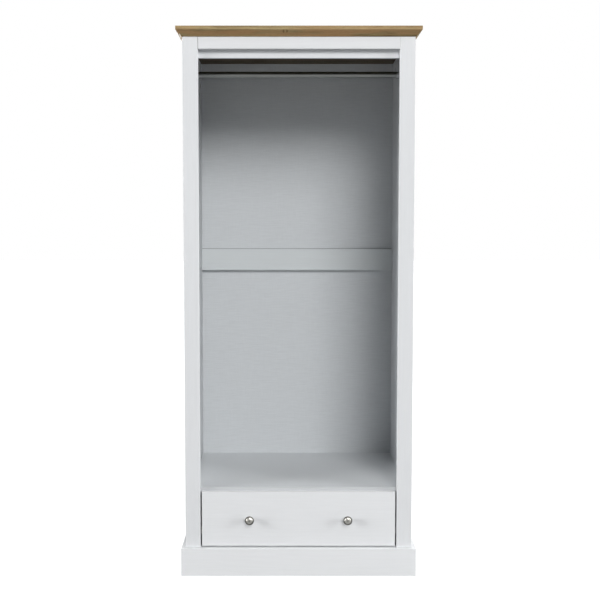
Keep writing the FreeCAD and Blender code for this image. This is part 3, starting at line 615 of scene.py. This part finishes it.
# ---- Plinth ----
# Three boards mitred at the front corners and screwed on from inside; the upper outer
# edges are broken.

# The plinth is a lighter copy of the foil white: painted light on the front.
plinth_lit_white = (0.722, 0.735, 0.748, 1)

white_board("plinth_front", "x", raw_low=(0, 0, 1), white=plinth_lit_white)
for side in ("left", "right"):
    white_board(side + "_plinth_side", "y", raw_low=(0, 0, 1), raw_high=(0, 1, 0),
                white=plinth_lit_white)


# ---- Runner boards and spacer battens ----
# White boards carry the runners in line with the opening's edge. Raw fibreboard battens
# pack them off the side panels.

fibre_dark = (0.36, 0.25, 0.15, 1)
fibre_light = (0.48, 0.36, 0.23, 1)


def raw_fibreboard():
    """Sawn medium-density fibreboard: even, warm brown and softly fuzzy."""
    material, tree, shader, place = new_material("raw_fibreboard")
    fuzz = noise(tree, place, (500.0, 500.0, 500.0), detail=6.0, roughness=0.7)
    saw = noise(tree, place, (60.0, 60.0, 1400.0), detail=2.0)
    tone = calc(tree, "MULTIPLY_ADD", fuzz, 0.6, calc(tree, "MULTIPLY", saw, 0.4))
    surface(tree, shader, mix(tree, ramp(tree, tone, 0.35, 0.65), fibre_dark, fibre_light),
            ramp(tree, fuzz, 0.2, 0.8, 0.8, 0.95), tone, depth=0.0002)
    return material


batten_board = raw_fibreboard()
for side in ("left", "right"):
    white_board(side + "_runner_board", "y", raw_low=(0, 1, 1), raw_high=(0, 1, 1))
    dress(side + "_spacer_battens", batten_board)


# ---- Roller runners ----
# Strips of folded sheet steel in white powder coat, with moulded nylon rollers on riveted
# steel pins: one roller at the front of each track, one at the rear of each drawer rail.

coat_white = (0.78, 0.79, 0.79, 1)
coat_rubbed = (0.60, 0.61, 0.61, 1)
nylon_clean = (0.76, 0.75, 0.69, 1)
nylon_scuffed = (0.60, 0.59, 0.54, 1)
steel_grey = (0.62, 0.62, 0.60, 1)


def powder_coat():
    """White powder coat with a fine orange peel."""
    material, tree, shader, place = new_material("white_powder_coat")
    peel = noise(tree, place, (900.0, 900.0, 900.0), detail=2.0)
    rub = ramp(tree, noise(tree, place, (400.0, 12.0, 400.0), detail=3.0), 0.55, 0.75)
    surface(tree, shader, mix(tree, calc(tree, "MULTIPLY", rub, 0.5), coat_white, coat_rubbed),
            ramp(tree, peel, 0.3, 0.7, 0.3, 0.42), peel, depth=0.00006)
    return material


def roller_nylon():
    """Slightly waxy natural nylon, scuffed on the tread."""
    material, tree, shader, place = new_material("roller_nylon")
    shader.inputs["Subsurface Weight"].default_value = 0.08
    shader.inputs["Subsurface Radius"].default_value = (0.002, 0.002, 0.0016)
    scuff = noise(tree, place, (90.0, 900.0, 900.0), detail=4.0)
    surface(tree, shader, mix(tree, ramp(tree, scuff, 0.4, 0.7), nylon_clean, nylon_scuffed),
            ramp(tree, scuff, 0.3, 0.7, 0.36, 0.55), scuff, depth=0.00004)
    return material


coat = powder_coat()
nylon = roller_nylon()
plated = plated_steel("plated_steel", steel_grey, roughness=0.3)
for side in ("left", "right"):
    dress(side + "_cabinet_runner", coat)
    dress(side + "_drawer_runner", coat)
    dress(side + "_cabinet_roller", nylon)
    dress(side + "_drawer_roller", nylon)
for node in ("cabinet_roller_pins", "drawer_roller_pins"):
    dress(node, plated)


# ---- Drawer ----
# A foil-wrapped inset front with level grain, thin white sides and back, and a printed
# hardboard bottom that slides in grooves.

box_white = (0.64, 0.652, 0.66, 1)
# The drawer front is a lighter copy of the foil white: painted light on the front.
drawer_front_lit_white = (0.706, 0.718, 0.732, 1)

white_board("drawer_front", "x", white=drawer_front_lit_white)
for side in ("left", "right"):
    white_board(side + "_drawer_side", "y", raw_low=(0, 1, 0), raw_high=(0, 1, 0),
                white=box_white)
white_board("drawer_back", "x", raw_low=(1, 0, 0), raw_high=(1, 0, 0), white=box_white)
printed_hardboard("drawer_bottom", "z", printed_low=False)


# ---- Knobs ----
# Small turned knobs in nickel: a foot, a waisted neck and a wide rim round a low dome.
# Dark reflections are painted on the rim and in the very middle, and shade is painted on the
# rim's lower side.

knob_segments = 96
dome_steps = 14
bead_steps = 10
flare_steps = 12
foot_steps = 8
nickel_bright = (0.60, 0.59, 0.55, 1)
nickel_reflection_dark = (0.13, 0.13, 0.12, 1)


def knob_profile(radius, reach):
    """Half outline of a knob from the crown to the foot: distance from the axis, and
    distance in front of the drawer."""
    dome_radius = radius * 0.80
    dome_edge = reach * 0.81
    crease_width = 0.0001
    crease_depth = 0.0004
    bead = radius * 0.105
    points = []
    for i in range(dome_steps + 1):
        turn = i / dome_steps * math.pi / 2
        points.append((dome_radius * math.sin(turn),
                       dome_edge + (reach - dome_edge) * math.cos(turn)))
    points.append((dome_radius + crease_width, dome_edge - crease_depth))
    rim_centre = (radius - bead, dome_edge - bead * 0.55)
    for i in range(bead_steps + 1):
        turn = math.radians(125 - 260 * i / bead_steps)
        points.append((rim_centre[0] + bead * math.cos(turn),
                       rim_centre[1] + bead * math.sin(turn)))
    neck_radius = radius * 0.367
    flare_start = points[-1]
    neck_end = reach * 0.35
    for i in range(1, flare_steps + 1):
        share = i / flare_steps
        ease = math.sin(share * math.pi / 2)
        points.append((flare_start[0] + (neck_radius - flare_start[0]) * ease,
                       flare_start[1] + (neck_end - flare_start[1]) * share ** 1.6))
    foot_radius = radius * 0.567
    foot_height = reach * 0.077
    foot_rise = reach * 0.115
    for i in range(foot_steps + 1):
        turn = i / foot_steps * math.pi / 2
        points.append((foot_radius - (foot_radius - neck_radius) * math.cos(turn),
                       foot_height + foot_rise * (1 - math.sin(turn))))
    points += [(foot_radius, foot_height * 0.4), (foot_radius * 0.97, 0.0), (0.0, 0.0)]
    return points


def turned_mesh(name, profile, centre, front):
    """Turn a profile about an axis that points to the front."""
    shape = bmesh.new()
    rings = []
    for radius, out in profile:
        y = front - out
        if radius < 1e-7:
            rings.append([shape.verts.new((centre.x, y, centre.z))])
            continue
        ring = []
        for i in range(knob_segments):
            turn = 2 * math.pi * i / knob_segments
            ring.append(shape.verts.new((centre.x + radius * math.cos(turn), y,
                                         centre.z + radius * math.sin(turn))))
        rings.append(ring)
    for a, b in zip(rings, rings[1:]):
        for i in range(knob_segments):
            j = (i + 1) % knob_segments
            corners = [a[i % len(a)], a[j % len(a)], b[j % len(b)], b[i % len(b)]]
            shape.faces.new(list(dict.fromkeys(corners)))
    bmesh.ops.recalc_face_normals(shape, faces=shape.faces)
    for face in shape.faces:
        face.smooth = True
    mesh = bpy.data.meshes.new(name)
    shape.to_mesh(mesh)
    shape.free()
    return put_in_scene(name, mesh)


def nickel_painted_reflection(name, centre, front, radius):
    """Nickel that is bright round the crown, with painted dark reflections in its very middle,
    towards the rim and behind it, and painted shade most of all at the rim's lower side."""
    material, tree, shader, place = new_material(name)
    shader.inputs["Metallic"].default_value = 1
    offset = calc3(tree, "SUBTRACT", place, (centre.x, front, centre.z))
    flat = calc3(tree, "MULTIPLY", offset, (1, 0, 1))
    out = measure(tree, flat)
    patina = noise(tree, place, (500.0, 500.0, 500.0), detail=5.0)
    spread = calc(tree, "MULTIPLY_ADD", patina, radius * 0.12, out)
    # Painted dark reflections at the rim and in the middle, and painted shade on the rim's
    # lower side.
    lower_rim_shade = calc(tree, "MULTIPLY", split_xyz(tree, flat)[2], -0.12)
    rim_dark_reflection = ramp(tree, calc(tree, "ADD", spread, lower_rim_shade), radius * 0.66, radius * 0.90)
    core = ramp(tree, spread, radius * 0.15, radius * 0.42, 0.55, 0.0)
    painted_dark_reflection = calc(tree, "MAXIMUM", rim_dark_reflection, core)
    lathe = calc(tree, "SINE", calc(tree, "MULTIPLY", out, 26000.0))
    surface(tree, shader, mix(tree, painted_dark_reflection, nickel_bright, nickel_reflection_dark),
            ramp(tree, patina, 0.3, 0.7, 0.27, 0.38), lathe, depth=0.000004)
    return material


for side in ("left", "right"):
    low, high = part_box(side + "_knob")
    centre = (low + high) / 2
    radius = (high.x - low.x) / 2
    knob = turned_mesh(side + "_turned_knob", knob_profile(radius, high.y - low.y), centre,
                       high.y)
    knob.data.materials.append(nickel_painted_reflection(side + "_aged_nickel", centre, high.y, radius))
    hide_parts(side + "_knob")
    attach(knob, "drawer")


# ---- Hanging rail and its sockets ----
# A chromed steel tube drops into two die-cast cups, each open at the top and screwed to
# its side panel.

rail_grey = (0.31, 0.32, 0.31, 1)
socket_grey = (0.50, 0.51, 0.52, 1)


def chrome(name, colour, roughness):
    """Chrome plate with faint draw marks along the tube."""
    material, tree, shader, place = new_material(name)
    shader.inputs["Metallic"].default_value = 1
    marks = noise(tree, place, (6.0, 1500.0, 1500.0), detail=3.0)
    surface(tree, shader,
            mix(tree, ramp(tree, marks, 0.35, 0.65), scaled(colour, 0.86), colour),
            ramp(tree, marks, 0.3, 0.7, roughness, roughness + 0.08), marks, depth=0.00001)
    return material


dress("hanging_rail", chrome("rail_chrome", rail_grey, roughness=0.27))
for side in ("left", "right"):
    dress(side + "_rail_socket", chrome(side + "_socket_chrome", socket_grey, roughness=0.24))


# ---- Cam fittings and dowels ----
# Die-cast zinc cams pull steel bolts across the joints, and beech dowels keep the boards in
# line.

zinc_dark = (0.36, 0.37, 0.39, 1)
zinc_light = (0.52, 0.53, 0.55, 1)
beech_dark = (0.50, 0.34, 0.20, 1)
beech_light = (0.62, 0.45, 0.28, 1)
beech_ray = (0.36, 0.22, 0.12, 1)


def die_cast_zinc():
    """Dull grey casting with a slightly pitted skin."""
    material, tree, shader, place = new_material("die_cast_zinc")
    shader.inputs["Metallic"].default_value = 1
    pits = noise(tree, place, (1200.0, 1200.0, 1200.0), detail=4.0, roughness=0.65)
    surface(tree, shader, mix(tree, ramp(tree, pits, 0.3, 0.7), zinc_dark, zinc_light),
            ramp(tree, pits, 0.3, 0.7, 0.42, 0.58), pits, depth=0.00005)
    return material


def beech():
    """Straight, fine-grained beech with short darker rays."""
    material, tree, shader, place = new_material("beech")
    fibre = noise(tree, place, (30.0, 800.0, 800.0), detail=4.0)
    rays = ramp(tree, noise(tree, place, (300.0, 2400.0, 2400.0), detail=1.0), 0.58, 0.66)
    wood = mix(tree, ramp(tree, fibre, 0.35, 0.65), beech_dark, beech_light)
    surface(tree, shader, mix(tree, calc(tree, "MULTIPLY", rays, 0.5), wood, beech_ray),
            ramp(tree, fibre, 0.2, 0.8, 0.55, 0.7), fibre, depth=0.00006)
    return material


zinc = die_cast_zinc()
for node in ("carcass_cam_discs", "drawer_cam_discs"):
    dress(node, zinc)
for node in ("carcass_cam_bolts", "drawer_cam_bolts"):
    dress(node, plated)
dress("carcass_dowels", beech())


# ---- Screws ----
# Zinc-plated steel with rolled threads and cross recesses: countersunk screws in the boards,
# low pan heads on the runners and under the drawer, and machine screws that pass through the
# drawer front into the knobs.

head_radius = 0.004
machine_head_top = 0.8 * head_radius
pan_radius = 0.0035
pan_top = 0.84 * pan_radius
pan_height = 0.001
sunk_height = 0.0024
shank_radius = 0.002
board_pitch = 0.0016
board_tip = 0.004
machine_pitch = 0.0009
machine_tip = 0.0006
recess_depth_share = 0.72        # of the head's height
recess_mouth_share = 0.8         # of the head's radius
recess_floor_share = 0.3
recess_arm_share = 0.24          # an arm's width against its length
core_share = 0.72                # of the shank's radius
crest_share = 0.18
point_share = 0.12               # of the core's radius
end_depth = 0.0001               # how far from a screw's end a point still counts as on it


def screw_places(node):
    """Each screw of a CAD node: the middle of its head's face, the way out, its length."""
    shape = bmesh.new()
    shape.from_mesh(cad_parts[node].data)
    bmesh.ops.remove_doubles(shape, verts=shape.verts, dist=1e-6)
    unseen = set(shape.verts)
    places = []
    for first in shape.verts:
        if first not in unseen:
            continue
        unseen.remove(first)
        queue = [first]
        for vertex in queue:
            for edge in vertex.link_edges:
                other = edge.other_vert(vertex)
                if other in unseen:
                    unseen.remove(other)
                    queue.append(other)
        spots = [vertex.co.copy() for vertex in queue]
        low = Vector([min(p[i] for p in spots) for i in range(3)])
        high = Vector([max(p[i] for p in spots) for i in range(3)])
        axis = max(range(3), key=lambda i: high[i] - low[i])
        middle = (low + high) / 2
        ends = []
        for level, sign in ((low[axis], -1), (high[axis], 1)):
            end = middle.copy()
            end[axis] = level
            out = Vector((0, 0, 0))
            out[axis] = sign
            width = max((p - end).length for p in spots if abs(p[axis] - level) < end_depth)
            ends.append((width, end, out))
        _, head, out = max(ends, key=lambda e: e[0])
        places.append((head, out, high[axis] - low[axis]))
    shape.free()
    return places


def make_screws():
    """A threaded screw with a cross recess at each point, headed along its `out`."""
    tree, start, end = geometry_tree("screws", {
        "Length": "Float", "Head Top Radius": "Float", "Head Base Radius": "Float",
        "Head Height": "Float", "Shank Radius": "Float", "Pitch": "Float", "Tip": "Float",
        "Finish": "Material"})
    value = start.outputs
    full, tip = value["Length"], value["Tip"]
    top, height = value["Head Top Radius"], value["Head Height"]
    head = shifted(tree, cone(tree, 28, value["Head Base Radius"], top, height),
                   calc(tree, "MULTIPLY", height, -1.0))
    depth = calc(tree, "MULTIPLY", height, recess_depth_share)
    wedge = cone(tree, 4, calc(tree, "MULTIPLY", top, recess_floor_share),
                 calc(tree, "MULTIPLY", top, recess_mouth_share),
                 calc(tree, "MULTIPLY", depth, 1.5))
    wedge = shifted(tree, wedge, calc(tree, "MULTIPLY", depth, -1.0), (0, 0, math.pi / 4))
    recess = add(tree, "GeometryNodeMeshBoolean", operation="DIFFERENCE")
    tree.links.new(head, recess.inputs["Mesh 1"])
    for arm in ((1, recess_arm_share, 1), (recess_arm_share, 1, 1)):
        tree.links.new(shifted(tree, wedge, scale=arm), recess.inputs["Mesh 2"])
    core_radius = calc(tree, "MULTIPLY", value["Shank Radius"], core_share)
    body_length = calc(tree, "SUBTRACT", calc(tree, "SUBTRACT", full, tip), height)
    body_end = calc(tree, "SUBTRACT", tip, full)
    core = cone(tree, 14, core_radius, core_radius, body_length)
    point = cone(tree, 14, calc(tree, "MULTIPLY", core_radius, point_share), core_radius,
                 tip)
    crest = calc(tree, "MULTIPLY", value["Shank Radius"], crest_share)
    helix_radius = calc(tree, "SUBTRACT", value["Shank Radius"], crest)
    helix = add(tree, "GeometryNodeCurveSpiral", {
        "Resolution": 12, "Rotations": calc(tree, "DIVIDE", body_length, value["Pitch"]),
        "Start Radius": helix_radius, "End Radius": helix_radius, "Height": body_length})
    upright = add(tree, "GeometryNodeSetCurveNormal", {0: helix.outputs[0]}, mode="Z_UP")
    ridge = add(tree, "GeometryNodeCurvePrimitiveCircle", {"Resolution": 4, "Radius": crest})
    thread = add(tree, "GeometryNodeCurveToMesh", {
        "Curve": upright.outputs[0], "Profile Curve": ridge.outputs[0], "Fill Caps": True})
    screw = joined(tree, (
        recess.outputs[0], shifted(tree, core, body_end),
        shifted(tree, thread.outputs[0], body_end),
        shifted(tree, point, calc(tree, "MULTIPLY", full, -1.0))))
    out = add(tree, "GeometryNodeInputNamedAttribute", {"Name": "out"},
              data_type="FLOAT_VECTOR")
    facing = add(tree, "FunctionNodeAlignRotationToVector", {"Vector": out.outputs[0]},
                 axis="Z")
    give_copies(tree, end, value["Geometry"], screw, value["Finish"], facing.outputs[0])
    return tree


def threaded_screws(node, body, head_top, head_base, head_height, pitch=board_pitch,
                    tip=board_tip):
    """Real screws in place of a CAD node's plain ones, one piece for each length."""
    by_length = {}
    for place in screw_places(node):
        by_length.setdefault(round(place[2], 4), []).append(place)
    for length, places in sorted(by_length.items()):
        name = "%s_%dmm" % (node, round(length * 1000))
        mesh = bpy.data.meshes.new(name)
        mesh.from_pydata([head for head, out, _ in places], [], [])
        outs = mesh.attributes.new("out", "FLOAT_VECTOR", "POINT")
        for item, (_, out, _) in zip(outs.data, places):
            item.vector = out
        piece = grow(put_in_scene(name, mesh), screws, length=length,
                     head_top_radius=head_top, head_base_radius=head_base,
                     head_height=head_height, shank_radius=shank_radius, pitch=pitch, tip=tip,
                     finish=plated)
        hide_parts(node)
        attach(piece, body)


screws = make_screws()
for node, body in (("rail_socket_screws", "carcass"), ("runner_board_screws", "carcass"),
                   ("head_rail_screws", "carcass"), ("plinth_screws", "carcass"),
                   ("drawer_back_screws", "drawer")):
    threaded_screws(node, body, head_radius, shank_radius, sunk_height)
for node, body in (("cabinet_runner_screws", "carcass"), ("drawer_runner_screws", "drawer"),
                   ("drawer_bottom_screws", "drawer")):
    threaded_screws(node, body, pan_top, pan_radius, pan_height)
threaded_screws("knob_screws", "drawer", machine_head_top, head_radius, sunk_height,
                pitch=machine_pitch, tip=machine_tip)


# ---- Studio ----
# A pale floor that runs out of sight. The main lamp and a small softbox stand high, a little
# right of the front, two lamps on each side graze it, and two behind light back and top.

mirror_level = 0.25
floor_half = 30.0
floor_grey = 0.26
floor_glow = 0.97
lamp_aim = Vector((0, face_y, 1.0))


def seen_white(tree):
    """White for the eye and behind glass, weaker in mirrors, and no light of its own."""
    rays = add(tree, "ShaderNodeLightPath").outputs
    seen = calc(tree, "MAXIMUM", rays["Is Camera Ray"], rays["Is Transmission Ray"])
    return calc(tree, "MULTIPLY_ADD", rays["Is Glossy Ray"], mirror_level, seen)


def white_ground():
    """Floor that is white to the eye, keeps the wardrobe's soft shadow, and lies in the dark
    inside the plinth."""
    material, tree, shader, place = new_material("pale_floor")
    tree.nodes.remove(shader)
    x, y, _ = split_xyz(tree, place)
    beside = calc(tree, "GREATER_THAN", calc(tree, "ABSOLUTE", x), side_high.x)
    before = calc(tree, "LESS_THAN", y, face_y)
    behind = calc(tree, "GREATER_THAN", y, back_high.y)
    outside = calc(tree, "MAXIMUM", beside, calc(tree, "MAXIMUM", before, behind))
    strength = calc(tree, "MULTIPLY", seen_white(tree), floor_glow)
    strength = calc(tree, "MULTIPLY", strength, outside)
    diffuse = add(tree, "ShaderNodeBsdfDiffuse", {"Color": (floor_grey,) * 3 + (1,)})
    glow = add(tree, "ShaderNodeEmission", {"Color": (1, 1, 1, 1), "Strength": strength})
    both = add(tree, "ShaderNodeAddShader", {0: diffuse.outputs[0], 1: glow.outputs[0]})
    tree.links.new(both.outputs[0], tree.nodes["Material Output"].inputs["Surface"])
    return material


def white_world():
    """Plain white all round for the eye, and no light of its own."""
    world = bpy.data.worlds.new("studio")
    world.use_nodes = True
    tree = world.node_tree
    background = tree.nodes["Background"]
    background.inputs["Color"].default_value = (1, 1, 1, 1)
    tree.links.new(seen_white(tree), background.inputs["Strength"])
    return world


def hang_lamp(name, lamp, toward, distance=0.0):
    """Point a lamp at the middle of the wardrobe from the given side."""
    piece = put_in_scene(name, lamp)
    piece.location = lamp_aim + toward * distance
    piece.rotation_euler = toward.to_track_quat("Z", "Y").to_euler()


def from_side(azimuth, elevation):
    """The way to a lamp: azimuth to the right of the front, and elevation, in degrees."""
    turn, lift = math.radians(azimuth), math.radians(elevation)
    return Vector((math.sin(turn) * math.cos(lift), -math.cos(turn) * math.cos(lift),
                   math.sin(lift)))


def far_lamp(name, azimuth, elevation, strength, spread):
    """Soft lamp so far off that its light is even; its spread is in degrees."""
    lamp = bpy.data.lights.new(name, "SUN")
    lamp.energy = strength
    lamp.angle = math.radians(spread)
    hang_lamp(name, lamp, from_side(azimuth, elevation))


def softbox(name, azimuth, elevation, strength, distance, width, tall):
    """Rectangular lamp; its strength is what reaches the wardrobe."""
    lamp = bpy.data.lights.new(name, "AREA")
    lamp.shape = "RECTANGLE"
    lamp.size = width
    lamp.size_y = tall
    lamp.energy = strength * math.pi * distance ** 2
    hang_lamp(name, lamp, from_side(azimuth, elevation), distance)


ground = bpy.data.meshes.new("floor")
ground.from_pydata([(-floor_half, -floor_half, 0), (floor_half, -floor_half, 0),
                    (floor_half, floor_half, 0), (-floor_half, floor_half, 0)],
                   [], [(0, 1, 2, 3)])
ground.materials.append(white_ground())
floor = put_in_scene("floor", ground)

bpy.context.scene.world = white_world()
far_lamp("key", azimuth=16, elevation=30, strength=1.58, spread=28)
softbox("high_right", azimuth=8, elevation=36, strength=0.3, distance=4.3, width=1.2, tall=1.2)
for side, azimuth, strength in (("left", -71, 1.34), ("right", 71, 1.24)):
    far_lamp("low_" + side, azimuth, elevation=3, strength=strength, spread=20)
    far_lamp("upper_" + side, azimuth, elevation=19, strength=strength, spread=20)
far_lamp("rear_left", azimuth=-155, elevation=12, strength=1.8, spread=34)
far_lamp("rear_right", azimuth=148, elevation=55, strength=1.9, spread=34)
bpy.context.scene.view_settings.view_transform = "Standard"
